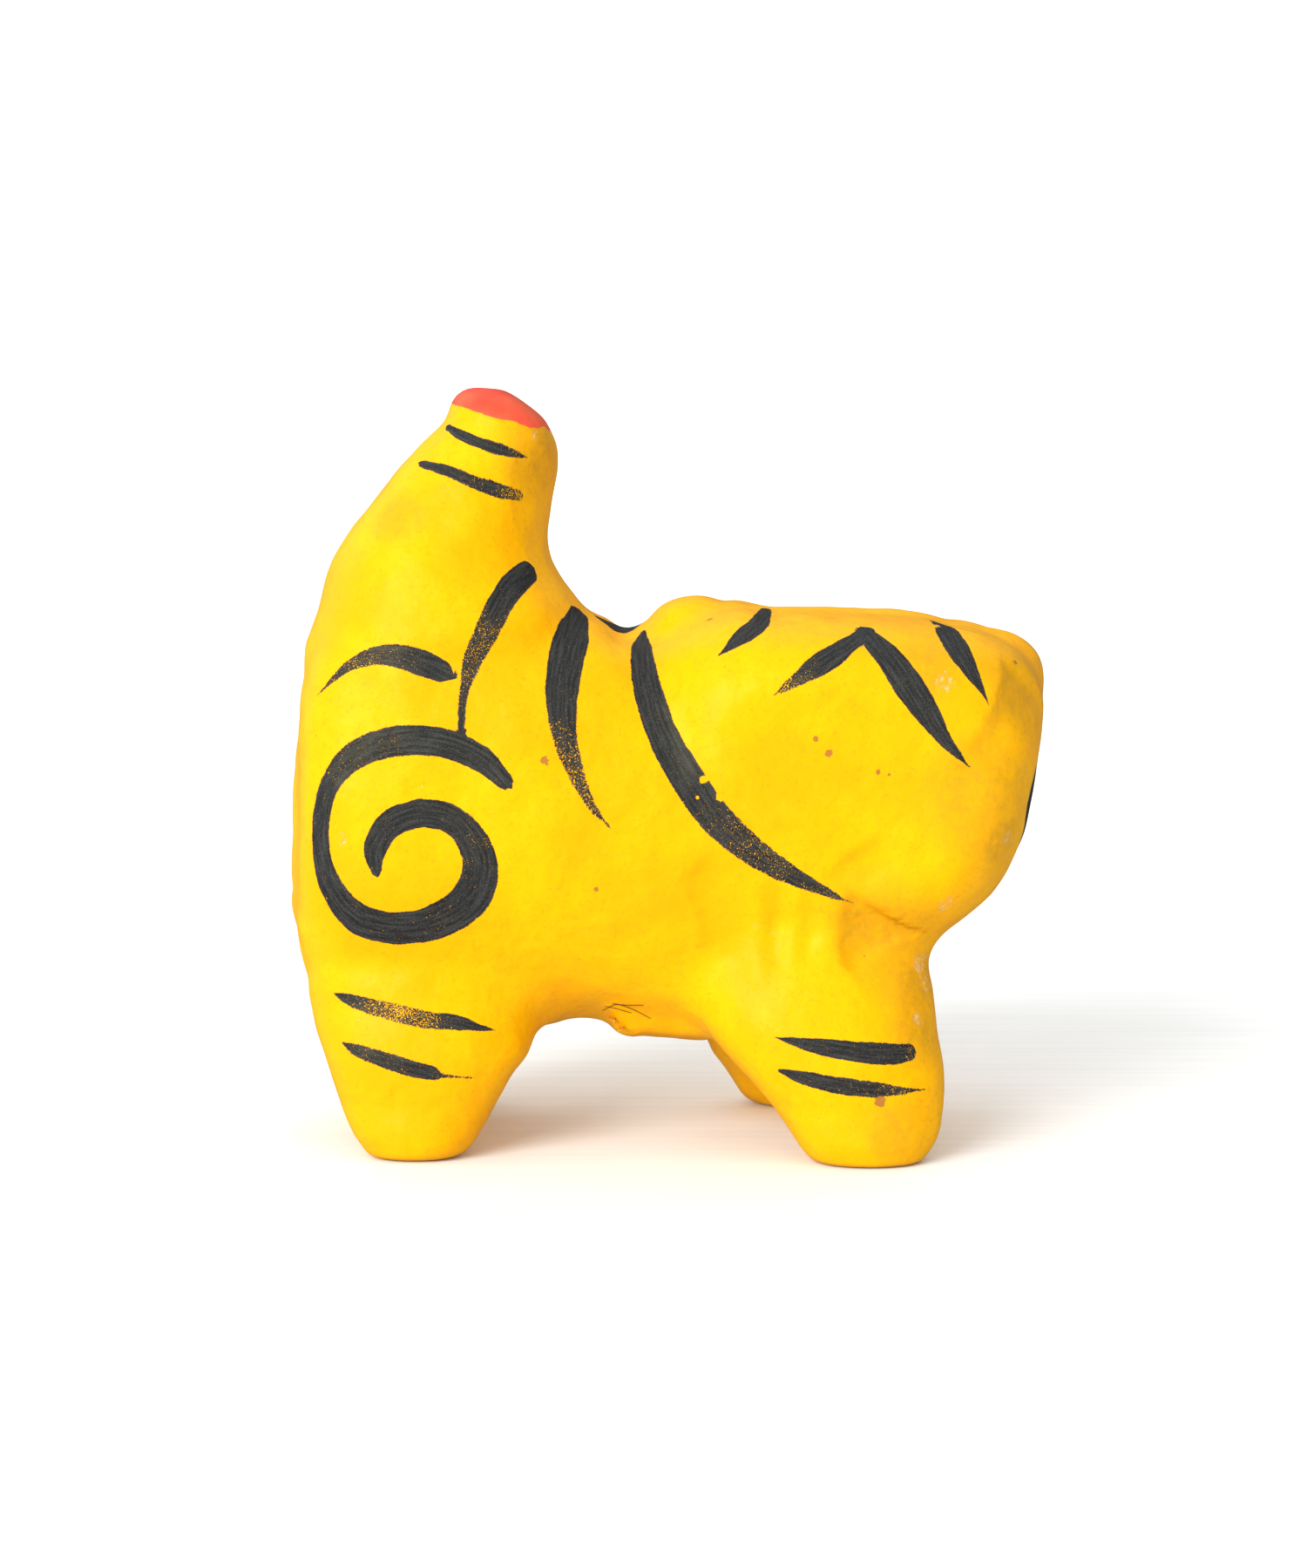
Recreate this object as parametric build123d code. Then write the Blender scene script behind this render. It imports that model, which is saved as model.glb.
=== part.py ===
"""Hollow papier-mache tiger figure. It stands on four legs, with its tail raised and its head turned to its
left.

Frame: +X points from the rump to the chest, +Y to the figure's left, +Z up, millimetres.
The origin is on the floor, under the middle of the bounding box.

Every main form (torso, tail, head, legs) is a closed skin lofted through ring stations. A form can be made
thinner or fatter with one number, so a wall is a form minus a thinner one, and a pasted paper strip is the
thin layer between a form and a slightly fatter one.
"""

from build123d import *
import os
from math import cos, pi, sin

# Driving dimensions
wall = 2.2  # pasted paper layers of every shell
strip_thickness = 0.7  # paper strips pasted over the joints
strip_half_width = 6.5  # a strip reaches this far to each side of the seam between two shells
collar_reach = 5.0  # a collar of strips reaches this far from the joint, on both pieces
sole_thickness = 2.0
tail_end_rise = 5.6  # height of the domed end of the tail
head_split_y = 6.0  # the head's two halves meet on this plane
front_foot_out = 33.0  # from the torso's middle plane to a front foot's centre
hind_foot_out = 27.0
front_foot_lag = 12.5  # the left front foot stands this much further back than the right one
patch_thickness = 3.2  # layered paper over the opening in the belly
patch_half_width = 19.0
patch_back_x, patch_front_x = -12.0, 11.0
ring_points = 16  # points on each ring outline
open_end = 0.5  # a hollow that is open at an end reaches this far past it
everywhere = 400.0  # further than any piece reaches


class Ring:
    """One closed outline of a form: its centre, plane and half sizes. A higher power makes squarer corners,
    and a taper makes the outline wider above its centre than below."""

    def __init__(self, centre, across, axis, half_across, half_up, power=2.0, power_low=None, taper=0.0):
        self.centre = Vector(centre)
        self.across = Vector(across).normalized()
        self.axis = Vector(axis).normalized()
        self.half_across = half_across
        self.half_up = half_up
        self.power = power
        self.power_low = power_low or power
        self.taper = taper

    def face(self, grow, slide):
        """The ring's face, with its outline moved outwards by grow and its plane by slide along the axis."""
        plane = Plane(self.centre + self.axis * slide, x_dir=self.across, z_dir=self.axis)
        points = []
        for k in range(ring_points):
            angle = 2 * pi * k / ring_points
            c, s = cos(angle), sin(angle)
            power = self.power if s >= 0 else self.power_low
            across = abs(c) ** (2 / power) * (1 if c > 0 else -1)
            up = abs(s) ** (2 / power) * (1 if s > 0 else -1)
            half_across = self.half_across * (1 + self.taper * up) + grow
            points.append((half_across * across, (self.half_up + grow) * up))
        return plane * make_face(Spline(*points, periodic=True))


def lofted(rings, grow=0.0, slide_first=None, slide_last=None):
    """The solid through these rings, with its skin moved outwards by grow. Its flat ends move by grow too,
    unless slide_first or slide_last says how far an end moves."""
    first = grow if slide_first is None else slide_first
    last = grow if slide_last is None else slide_last
    slides = [-first] + [0.0] * (len(rings) - 2) + [last]
    return Solid.make_loft([ring.face(grow, slide).wire() for ring, slide in zip(rings, slides)])


# Torso: rings across the body, from the rump (-X) to the chest (+X)
def torso_ring(x, low, high, half_width, power=2.3):
    return Ring((x, 0, (low + high) / 2), (0, 1, 0), (1, 0, 0), half_width, (high - low) / 2, power)


torso_rings = [
    torso_ring(-98.2, 68, 95, 12),
    torso_ring(-97.2, 56, 109, 22),
    torso_ring(-95.4, 46, 124, 30),
    torso_ring(-91.4, 37, 137, 35.5),
    torso_ring(-83.0, 31, 144, 39.5),
    torso_ring(-66.0, 28.5, 147, 42),
    torso_ring(-44.0, 30.5, 146, 42),
    torso_ring(-24.0, 31.5, 140.5, 41),
    torso_ring(-10.0, 31, 134.5, 40.5),
    torso_ring(8.0, 29, 129, 39.5),
    torso_ring(26.0, 28, 123, 38.5),
    torso_ring(44.0, 30, 114, 35.5),
    torso_ring(57.0, 36, 103, 29),
    torso_ring(64.0, 44, 92, 20),
    torso_ring(66.8, 54, 82, 11),
]


# Tail: rings along an axis that leans towards the head, from inside the rump to the end
def tail_ring(x, z, lean, half_width, half_length):
    """lean is how far the axis moves along X for each unit of height."""
    return Ring((x, 0, z), (0, 1, 0), (lean, 0, 1), half_width, half_length)


tail_rings = [
    tail_ring(-57.0, 121.0, 0.0, 35, 34),
    tail_ring(-57.3, 138.0, 0.0, 33.5, 35.9),
    tail_ring(-59.2, 148.1, 0.03, 30.5, 31.2),
    tail_ring(-58.8, 156.1, 0.08, 27.3, 27.1),
    tail_ring(-55.4, 164.2, 0.14, 24, 23.3),
    tail_ring(-51.2, 172.7, 0.20, 20.6, 20.2),
    tail_ring(-46.6, 181.0, 0.22, 17.2, 17.5),
    tail_ring(-43.8, 190.3, 0.26, 14.2, 14.2),
]


def tail_end_rings():
    """The domed end: a quarter of an ellipse in four rings above the tail's last ring."""
    base = tail_rings[-1]
    rings = []
    for turn in (0.0, 0.35, 0.65, 0.86):
        angle = turn * pi / 2
        centre = base.centre + base.axis * (tail_end_rise * sin(angle))
        half_width = base.half_across * cos(angle)
        half_length = base.half_up * cos(angle)
        rings.append(Ring(centre, (0, 1, 0), base.axis, half_width, half_length))
    return rings


# Head: rings across its depth, from the back of the head (-Y) to the face (+Y); flat crown, round jaw
head_x, head_z = 46.5, 94.8
head_half_width, head_half_height = 50.2, 45.0
head_tilt = 0.045  # how far the crown drops for each unit of length towards the chest
head_taper = 0.045


def head_ring(y, share_wide, share_high, drop=0.0):
    return Ring(
        (head_x, y, head_z - drop),
        (-1, 0, head_tilt),
        (0, 1, 0),
        head_half_width * share_wide,
        head_half_height * share_high,
        power=3.8,
        power_low=2.05,
        taper=head_taper,
    )


head_rings = [
    head_ring(-40.0, 0.62, 0.58),
    head_ring(-36.5, 0.80, 0.78),
    head_ring(-27.0, 0.94, 0.93),
    head_ring(-10.0, 1.00, 1.00),
    head_ring(10.0, 1.00, 1.00),
    head_ring(27.0, 0.95, 0.95),
    head_ring(38.5, 0.83, 0.84, 1.0),
    head_ring(45.5, 0.60, 0.60, 2.0),
]

# Solid mounds of paper pulp on the head: centre and radius of each ball
head_balls = {
    "ear_left": ((7.5, 2.0, 127.0), 15.0),
    "ear_right": ((84.0, 2.0, 121.0), 15.0),
    "muzzle": ((head_x, 36.0, 77.0), 20.0),
}


# Legs: rings from the sole up to a ring hidden inside the torso
def leg_ring(x, y, z, half_length, half_width):
    return Ring((x, y, z), (1, 0, 0), (0, 0, 1), half_length, half_width, 2.2)


def front_leg_rings(side, lag):
    y = front_foot_out
    top = 60.0
    stations = [
        (51.3, y, 0, 13.0, 9.5),
        (50.8, y - 0.3, 4, 17.0, 13.5),
        (49.4, y - 1, 11, 20.8, 16.0),
        (45.6, y - 2.5, 20, 25.0, 18.0),
        (40.0, y - 5, 32, 29.2, 19.5),
        (37.4, y - 9, 46, 30.0, 19.5),
        (36.5, y - 14, top, 27.0, 16.0),
    ]
    return [leg_ring(x - lag * (1 - 0.7 * z / top), side * out, z, a, b) for x, out, z, a, b in stations]


def hind_leg_rings(side):
    y = hind_foot_out
    stations = [
        (-65.6, y, 0, 10.0, 7.5),
        (-65.8, y, 4, 15.4, 12.0),
        (-65.5, y - 0.5, 11, 19.2, 15.0),
        (-64.7, y - 1.5, 20, 23.2, 17.0),
        (-64.2, y - 4, 32, 27.0, 18.0),
        (-65.0, y - 9, 50, 27.5, 17.0),
    ]
    return [leg_ring(x, side * out, z, a, b) for x, out, z, a, b in stations]


leg_rings = {
    "front_leg_right": front_leg_rings(-1, 0.0),
    "front_leg_left": front_leg_rings(1, front_foot_lag),
    "hind_leg_right": hind_leg_rings(-1),
    "hind_leg_left": hind_leg_rings(1),
}


def slab(low, high, axis):
    """A box that fills the space between two heights on one axis."""
    size = [everywhere] * 3
    size["XYZ".index(axis)] = high - low
    centre = [0.0] * 3
    centre["XYZ".index(axis)] = (low + high) / 2
    return Pos(*centre) * Box(*size)


def solids_by_size(shape):
    """The solids of a cut, largest first, so that the crumbs that a cut can leave come last."""
    return sorted(shape.solids(), key=lambda solid: solid.volume, reverse=True)


def main_solid(shape):
    return solids_by_size(shape)[0]


# Whole forms, and slightly fatter ones whose extra layer is where the strips are pasted
torso, torso_fat, torso_near = (lofted(torso_rings, grow) for grow in (0, strip_thickness, collar_reach))
tail, tail_fat, tail_near = (lofted(tail_rings, grow) for grow in (0, strip_thickness, collar_reach))
head, head_fat, head_near = (lofted(head_rings, grow) for grow in (0, strip_thickness, collar_reach))
legs = {name: lofted(rings) for name, rings in leg_rings.items()}
legs_fat = {name: lofted(rings, strip_thickness) for name, rings in leg_rings.items()}
legs_near = {name: lofted(rings, collar_reach) for name, rings in leg_rings.items()}


def torso_pieces():
    """Two moulded halves that meet on the middle plane, and the strips pasted over their seam."""
    hollow = torso - lofted(torso_rings, -wall)
    seam = (torso_fat - torso) & slab(-strip_half_width, strip_half_width, "Y")
    for neighbour in (tail_near, head_near, *legs_near.values()):
        seam -= neighbour
    belly_strip, spine_strip = solids_by_size(seam)[:2]
    return {
        "torso_shell_right": main_solid(hollow & slab(-everywhere, 0, "Y")),
        "torso_shell_left": main_solid(hollow & slab(0, everywhere, "Y")),
        "belly_strip": belly_strip,
        "spine_strip": spine_strip,
    }


def belly_patch():
    """Layered paper pasted over the belly strip, between the front and the hind legs."""
    layers = lofted(torso_rings, strip_thickness + patch_thickness) - torso_fat
    layers &= slab(patch_back_x, patch_front_x, "X")
    layers &= slab(-patch_half_width, patch_half_width, "Y")
    for leg_near in legs_near.values():
        layers -= leg_near
    below_the_middle = slab(0, torso_rings[0].centre.Z, "Z")
    return main_solid(layers & below_the_middle)


def joint_strip(limb, limb_fat, others):
    """Paper pasted round the end of a limb where it meets the torso."""
    layer = ((limb_fat - limb) & torso_near) - torso
    for other in others:
        layer -= other
    return main_solid(layer)


def tail_pieces():
    """A rolled tube trimmed to the rump, and the domed end that closes it."""
    end_rings = tail_end_rings()
    end = lofted(end_rings) - lofted(end_rings, -wall, 0.0, -wall)
    return {
        "tail_tube": main_solid(tail - torso - lofted(tail_rings, -wall, open_end, open_end)),
        "tail_end_cap": main_solid(end),
        "tail_joint_strip": joint_strip(tail, tail_fat, ()),
    }


def head_pieces():
    """The back of the head and the face, trimmed to the shoulder, with a strip pasted over their seam, the
    strip round the neck, and the mounds on the head."""
    hollow = head - torso - lofted(head_rings, -wall)
    balls = {name: Pos(*centre) * Sphere(radius) for name, (centre, radius) in head_balls.items()}
    half = strip_half_width
    seam = ((head_fat - head) & slab(head_split_y - half, head_split_y + half, "Y")) - torso_near
    for ball in balls.values():
        seam -= ball
    return {
        "head_back_shell": main_solid(hollow & slab(-everywhere, head_split_y, "Y")),
        "head_face_shell": main_solid(hollow & slab(head_split_y, everywhere, "Y")),
        "head_seam_strip": main_solid(seam),
        "neck_joint_strip": joint_strip(head, head_fat, (*legs_fat.values(), *balls.values())),
        **{name: main_solid(ball - head - torso_fat) for name, ball in balls.items()},
    }


def leg_pieces(name):
    """A hollow leg trimmed to the torso and the jaw, the flat disc that closes it, and its joint strip."""
    solid = legs[name] - torso - head
    hollow = solid - lofted(leg_rings[name], -wall, open_end, open_end)
    return {
        name: main_solid(hollow & slab(sole_thickness, everywhere, "Z")),
        name.replace("leg", "sole"): main_solid(legs[name] & slab(0, sole_thickness, "Z")),
        name.replace("leg", "joint_strip"): joint_strip(legs[name], legs_fat[name], (head_fat,)),
    }


def all_pieces():
    """Every piece, moved so that the origin is on the floor under the middle of the whole figure."""
    pieces = {**torso_pieces(), "belly_patch": belly_patch(), **tail_pieces(), **head_pieces()}
    for name in leg_rings:
        pieces.update(leg_pieces(name))
    boxes = [piece.bounding_box() for piece in pieces.values()]
    middle_x = (min(box.min.X for box in boxes) + max(box.max.X for box in boxes)) / 2
    middle_y = (min(box.min.Y for box in boxes) + max(box.max.Y for box in boxes)) / 2
    to_origin = Pos(-middle_x, -middle_y, -min(box.min.Z for box in boxes))
    return {name: to_origin * piece for name, piece in pieces.items()}


os.makedirs("parts", exist_ok=True)
for node, piece in all_pieces().items():
    export_step(piece, f"parts/{node}.step")
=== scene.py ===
"""The painted paper skin of the tiger figure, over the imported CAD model.

Metres, in the CAD's frame: +X from the rump to the chest, +Y the way the face looks, +Z up. The CAD nodes
are fused into one smooth skin, the skin is dented like dried paper, brushed with strokes, and cut back into
one closed piece for each CAD node.
"""

from math import pi, radians

import bpy
import numpy as np
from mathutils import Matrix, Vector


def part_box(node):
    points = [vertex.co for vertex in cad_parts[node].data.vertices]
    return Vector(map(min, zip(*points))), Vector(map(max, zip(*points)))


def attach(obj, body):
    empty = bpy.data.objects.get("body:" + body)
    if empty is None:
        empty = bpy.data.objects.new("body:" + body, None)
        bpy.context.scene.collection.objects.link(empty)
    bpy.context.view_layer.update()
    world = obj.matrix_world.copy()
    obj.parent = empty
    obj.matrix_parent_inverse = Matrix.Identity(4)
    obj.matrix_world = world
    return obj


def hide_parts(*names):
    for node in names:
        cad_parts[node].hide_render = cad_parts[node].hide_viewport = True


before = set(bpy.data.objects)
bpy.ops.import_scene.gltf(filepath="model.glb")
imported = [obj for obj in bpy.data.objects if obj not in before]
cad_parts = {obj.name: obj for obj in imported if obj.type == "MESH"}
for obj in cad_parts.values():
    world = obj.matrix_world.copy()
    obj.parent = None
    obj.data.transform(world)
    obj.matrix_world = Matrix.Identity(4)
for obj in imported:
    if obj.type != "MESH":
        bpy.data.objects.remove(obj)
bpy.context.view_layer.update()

import openvdb
from mathutils import Vector, noise
from mathutils.bvhtree import BVHTree

MM = 0.001

# ---------------------------------------------------------------- sizes
voxel = 1.2 * MM  # cell of the skin's distance field
skin_thickness = 1.5 * MM
neck_blend = 11 * MM  # radius of the paper fillets where the big forms meet
other_blend = 5 * MM
blend_softening = 1.3  # cells that the blended field is blurred by
margin = 16  # cells kept around the figure, more than the largest blend needs


# ---------------------------------------------------------------- the fused skin
def triangle_soup():
    """All CAD nodes as one set of points and triangles, with the node that each triangle belongs to."""
    points, triangles, owners = [], [], []
    first = 0
    for index, (name, node) in enumerate(sorted(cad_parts.items())):
        mesh = node.data
        mesh.calc_loop_triangles()
        co = np.empty(len(mesh.vertices) * 3, np.float32)
        mesh.vertices.foreach_get("co", co)
        tri = np.empty(len(mesh.loop_triangles) * 3, np.int32)
        mesh.loop_triangles.foreach_get("vertices", tri)
        points.append(co.reshape(-1, 3))
        triangles.append(tri.reshape(-1, 3) + first)
        owners.append(np.full(len(mesh.loop_triangles), index))
        first += len(mesh.vertices)
    return np.concatenate(points), np.concatenate(triangles), np.concatenate(owners)


class Field:
    """A signed distance field on a box of cells: negative inside the figure, in metres."""

    def __init__(self, low, high):
        self.transform = openvdb.createLinearTransform(voxel)
        self.first = np.floor(np.array(low) / voxel).astype(int) - margin
        last = np.ceil(np.array(high) / voxel).astype(int) + margin
        self.shape = tuple(last - self.first + 1)

    def level_set(self, points, triangles, quads=None):
        more = {} if quads is None else {"quads": quads.astype(np.uint32)}
        return openvdb.FloatGrid.createLevelSetFromPolygons(
            points.astype(np.float32),
            triangles=triangles.astype(np.uint32),
            transform=self.transform,
            halfWidth=float(margin),
            **more,
        )

    def array(self, grid):
        values = np.zeros(self.shape, np.float32)
        grid.copyToArray(values, ijk=tuple(int(i) for i in self.first))
        return values

    def grid(self, values):
        grid = openvdb.FloatGrid(float(margin) * voxel)
        grid.copyFromArray(values, ijk=tuple(int(i) for i in self.first))
        grid.transform = self.transform
        return grid

    def closed(self, grid, radius):
        """The field with every groove narrower than the radius filled: grown by it, then shrunk by it."""
        points, triangles, quads = grid.convertToPolygons(isovalue=radius, adaptivity=0)
        return self.array(self.level_set(points, triangles, quads)) + radius

    def places(self):
        """The X, Y and Z of each cell, as three arrays that broadcast to the field's shape."""
        axes = [(self.first[i] + np.arange(self.shape[i])) * voxel for i in range(3)]
        return np.meshgrid(*axes, indexing="ij", sparse=True)


def smooth_step(values, low, high):
    """0 below low, 1 above high, smooth between; high may be below low."""
    t = np.clip((values - low) / (high - low), 0, 1)
    return t * t * (3 - 2 * t)


def softened(values, cells):
    """A Gaussian blur over this many cells."""
    reach = int(3 * cells) + 1
    weights = np.exp(-0.5 * (np.arange(-reach, reach + 1) / cells) ** 2)
    weights /= weights.sum()
    for axis in range(3):
        total = np.zeros_like(values)
        for step, weight in zip(range(-reach, reach + 1), weights):
            total += weight * np.roll(values, step, axis)
        values = total
    return values


def wide_share(field):
    """Where the fillets are wide, 0 to 1 for each cell: beside the neck, under the rump, round the ears."""
    x, y, z = field.places()
    head_low, head_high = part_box("head_back_shell")
    off_middle = abs(y - middle_plane_y())
    off_neck = abs(x - head_low.x - 28 * MM)
    beside_neck = smooth_step(off_middle, 12 * MM, 30 * MM) * smooth_step(off_neck, 58 * MM, 38 * MM)
    arch_low, arch_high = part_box("hind_joint_strip_right")
    under_rump = smooth_step(z, arch_high.z, arch_low.z + 5 * MM) * smooth_step(x, -5 * MM, -25 * MM)
    ears_start, ears_full = head_high.z - 34 * MM, head_high.z - 24 * MM
    round_ears = smooth_step(z, ears_start, ears_full) * smooth_step(x, -16 * MM, -6 * MM)
    return np.clip(beside_neck + under_rump + round_ears, 0, 1)


def fused_skin():
    """The points and outward quads of the skin, all nodes as one form with paper fillets where they meet,
    and the CAD's own surface as a search tree, with the node that each of its triangles belongs to."""
    points, triangles, owners = triangle_soup()
    field = Field(points.min(0), points.max(0))
    grid = field.level_set(points, triangles)
    tight = field.closed(grid, other_blend)
    wide = field.closed(grid, neck_blend)
    share = wide_share(field)
    blended = softened(tight * (1 - share) + wide * share, blend_softening)
    skin, _, quads = field.grid(blended.astype(np.float32)).convertToPolygons(isovalue=0, adaptivity=0)
    skin, quads = skin.astype(float), quads.astype(int)
    if volume_of(skin, quads) < 0:
        quads = quads[:, ::-1]
    return skin, quads, BVHTree.FromPolygons(points.tolist(), triangles.tolist()), owners


def volume_of(points, quads):
    """The volume inside the quads, below 0 where they face inward."""
    a, b, c, d = (points[quads[:, i]] for i in range(4))
    return (np.cross(b - a, c - a) * a + np.cross(c - a, d - a) * a).sum() / 6


def middle_plane_y():
    """The plane that the torso's two shells meet on."""
    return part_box("torso_shell_right")[1].y


def point_normals(points, quads):
    """The outward direction at each point, from the quads that meet there, each weighted by its area."""
    a, b, c, d = (points[quads[:, i]] for i in range(4))
    faces = np.cross(c - a, d - b)
    normals = np.zeros_like(points)
    for corner in range(4):
        np.add.at(normals, quads[:, corner], faces)
    return normals / np.linalg.norm(normals, axis=1, keepdims=True).clip(1e-12)


# ---------------------------------------------------------------- strokes and creases on the skin
class Side:
    """Casts points given as (x, z) in millimetres along Y onto one flank of the skin: towards_y is 1 for the
    right flank and -1 for the left. A point beyond the outline goes to the nearest place on the skin."""

    outside = 0.3  # metres from the CAD's XZ plane, clear of the figure
    within = 0.02  # metres from it, inside the figure's depth

    def __init__(self, tree, towards_y):
        self.tree = tree
        self.towards_y = towards_y

    def on_skin(self, x, z):
        start = Vector((x * MM, -self.outside * self.towards_y, z * MM))
        hit = self.tree.ray_cast(start, Vector((0, self.towards_y, 0)))[0]
        if hit:
            return hit
        return self.tree.find_nearest(Vector((x * MM, -self.within * self.towards_y, z * MM)))[0]


class Ahead:
    """Casts points given as (y, z) in millimetres onto the end of the figure that +X points to."""

    outside = 0.5  # metres in front of the origin

    def __init__(self, tree):
        self.tree = tree

    def on_skin(self, y, z):
        return self.tree.ray_cast(Vector((self.outside, y * MM, z * MM)), Vector((-1, 0, 0)))[0]


class Above:
    """Casts points given as (x, y) in millimetres down onto the figure's back."""

    outside = 0.5  # metres above the ground

    def __init__(self, tree):
        self.tree = tree

    def on_skin(self, x, y):
        return self.tree.ray_cast(Vector((x * MM, y * MM, self.outside)), Vector((0, 0, -1)))[0]


def through(controls, step=1.0):
    """Rows like the control rows, about one step of millimetres apart on a smooth curve through them."""
    rows = np.array(controls, float)
    padded = np.vstack([2 * rows[0] - rows[1], rows, 2 * rows[-1] - rows[-2]])
    samples = []
    for before, start, end, after in zip(padded, padded[1:], padded[2:], padded[3:]):
        count = max(2, int(np.linalg.norm((end - start)[:2]) / step))
        for t in np.arange(count) / count:
            square = (2 * before - 5 * start + 4 * end - after) * t**2
            cube = (3 * start - before - 3 * end + after) * t**3
            samples.append(0.5 * (2 * start + (end - before) * t + square + cube))
    return np.array(samples + [rows[-1]])


class Path:
    """A line drawn on the skin, with the other columns of its control rows carried along it."""

    smoothing_passes = 3
    chunk = 4000  # skin points compared with the line at a time

    def __init__(self, caster, controls):
        rows = through(controls)
        points = np.array([caster.on_skin(*row) for row in rows[:, :2]])
        for _ in range(self.smoothing_passes):
            points[1:-1] = (points[:-2] + 2 * points[1:-1] + points[2:]) / 4
        self.points = points
        self.values = rows[:, 2:]
        self.tangents = np.gradient(points, axis=0)
        self.tangents /= np.linalg.norm(self.tangents, axis=1, keepdims=True).clip(1e-9)
        steps = np.linalg.norm(np.diff(points, axis=0), axis=1)
        self.lengths = np.concatenate([[0], np.cumsum(steps)])

    def near(self, skin, normals, reach):
        """For skin points within reach: their indices, distance along the path and distance across it."""
        low, high = self.points.min(0) - reach, self.points.max(0) + reach
        index = np.nonzero(((skin > low) & (skin < high)).all(1))[0]
        spots = skin[index]
        nearest = np.empty(len(index), int)
        for first in range(0, len(index), self.chunk):
            part = slice(first, first + self.chunk)
            gaps = spots[part, None, :] - self.points[None, :, :]
            nearest[part] = (gaps**2).sum(2).argmin(1)
        offset = spots - self.points[nearest]
        tangent = self.tangents[nearest]
        forward = (offset * tangent).sum(1)
        away = np.sqrt(((offset**2).sum(1) - forward**2).clip(0))
        across = away * np.sign((np.cross(normals[index], tangent) * offset).sum(1))
        return index, self.lengths[nearest] + forward, across

    def value(self, along, column):
        return np.interp(along, self.lengths, self.values[:, column])


# Each brush stroke has rows of (x, z, half width, dryness), the first three in millimetres. The face's are
# on the left side, the others on the right, and the tail's and the rump's are repeated on the left.
tail_strokes = {
    "tail_mark_upper": [
        (-57.5, 188, 0.8, 0), (-55, 186.5, 1.3, 0), (-48, 183.7, 1.5, 0.1), (-42.5, 182, 1.6, 0.3),
        (-36, 180, 0, 0.6),
    ],
    "tail_mark_lower": [
        (-38.6, 170.4, 1.3, 0.9), (-44.6, 172, 2.0, 0.35), (-50.6, 174.3, 1.7, 0.25),
        (-56.6, 176.7, 1.6, 0.1), (-64, 178.6, 1.1, 0),
    ],
    "tail_base": [
        (-52.6, 109.4, 0.4, 0), (-52.5, 114, 0.9, 0.1), (-52.1, 120.6, 1.1, 0.4), (-49.8, 129.4, 2.4, 0.55),
        (-45.8, 137.4, 3.2, 0.5), (-42.8, 143.6, 3.4, 0.1), (-39.6, 148.2, 3.5, 0), (-36.2, 150.8, 3.1, 0),
    ],
    "crescent": [
        (-54.6, 124.8, 0.4, 0), (-57.2, 126.1, 2.6, 0), (-62.5, 128.4, 3.4, 0.1), (-70, 130.4, 2.8, 0.3),
        (-77, 129.6, 2.2, 0.45), (-83.5, 126.1, 1.3, 0.45), (-90, 119.8, 0, 0.4),
    ],
}
rump_strokes = {
    "spiral": [
        (-74.4, 76, 1.4, 0), (-74.8, 81, 2.9, 0), (-71, 87.8, 3.5, 0), (-62, 91, 3.7, 0),
        (-53, 88, 3.7, 0.2), (-47.9, 79, 4.4, 0.2), (-50, 69.5, 5.0, 0.1), (-58, 63.2, 4.8, 0.2),
        (-68, 60.9, 4.5, 0.1), (-79, 63, 4.4, 0), (-86, 71, 3.4, 0.1), (-88.9, 82, 2.7, 0),
        (-87.2, 95.6, 2.8, 0.1), (-80.8, 104.6, 3.5, 0.3), (-69.7, 109, 3.9, 0.15),
        (-57, 108.6, 3.7, 0.05), (-47, 104.2, 3.2, 0), (-41.2, 98.8, 2.0, 0),
    ],
    "flank": [
        (-23.3, 139.6, 2.7, 0), (-24.8, 134.6, 4.5, 0), (-26.4, 128, 4.6, 0), (-27.2, 119.5, 4.1, 0.1),
        (-26.2, 109, 3.0, 0.55), (-23.5, 101, 2.1, 0.65), (-19.5, 92.6, 1.0, 0.6), (-14, 86.2, 0, 0.4),
    ],
    "hind_mark_upper": [
        (-86.4, 43, 0, 0.2), (-82, 41.6, 1.6, 0.3), (-72, 39.4, 2.0, 0.85), (-62, 37.3, 2.1, 0.7),
        (-54, 36.4, 1.9, 0.1), (-49, 35, 0.9, 0.1), (-43.6, 33.6, 0, 0),
    ],
    "hind_mark_lower": [
        (-49.6, 22.3, 0, 0.5), (-58.2, 23.3, 0.6, 0.5), (-59.5, 23.6, 1.7, 0.2), (-67, 25.4, 2.1, 0.2),
        (-80, 29.3, 1.6, 0.4), (-84.2, 31, 0, 0.1),
    ],
    "front_mark_upper": [
        (26.9, 34, 0, 0), (35.9, 32.3, 1.8, 0.1), (44.4, 30.9, 2.5, 0), (55, 29.6, 2.8, 0.15),
        (61.5, 29.4, 2.2, 0.4),
    ],
    "front_mark_lower": [
        (66, 19.6, 0, 0.3), (57.7, 20.3, 1.2, 0.5), (50.2, 21.1, 2.1, 0.2), (35.8, 23.4, 1.9, 0.1),
        (28.4, 25.3, 0.6, 0),
    ],
}
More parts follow.
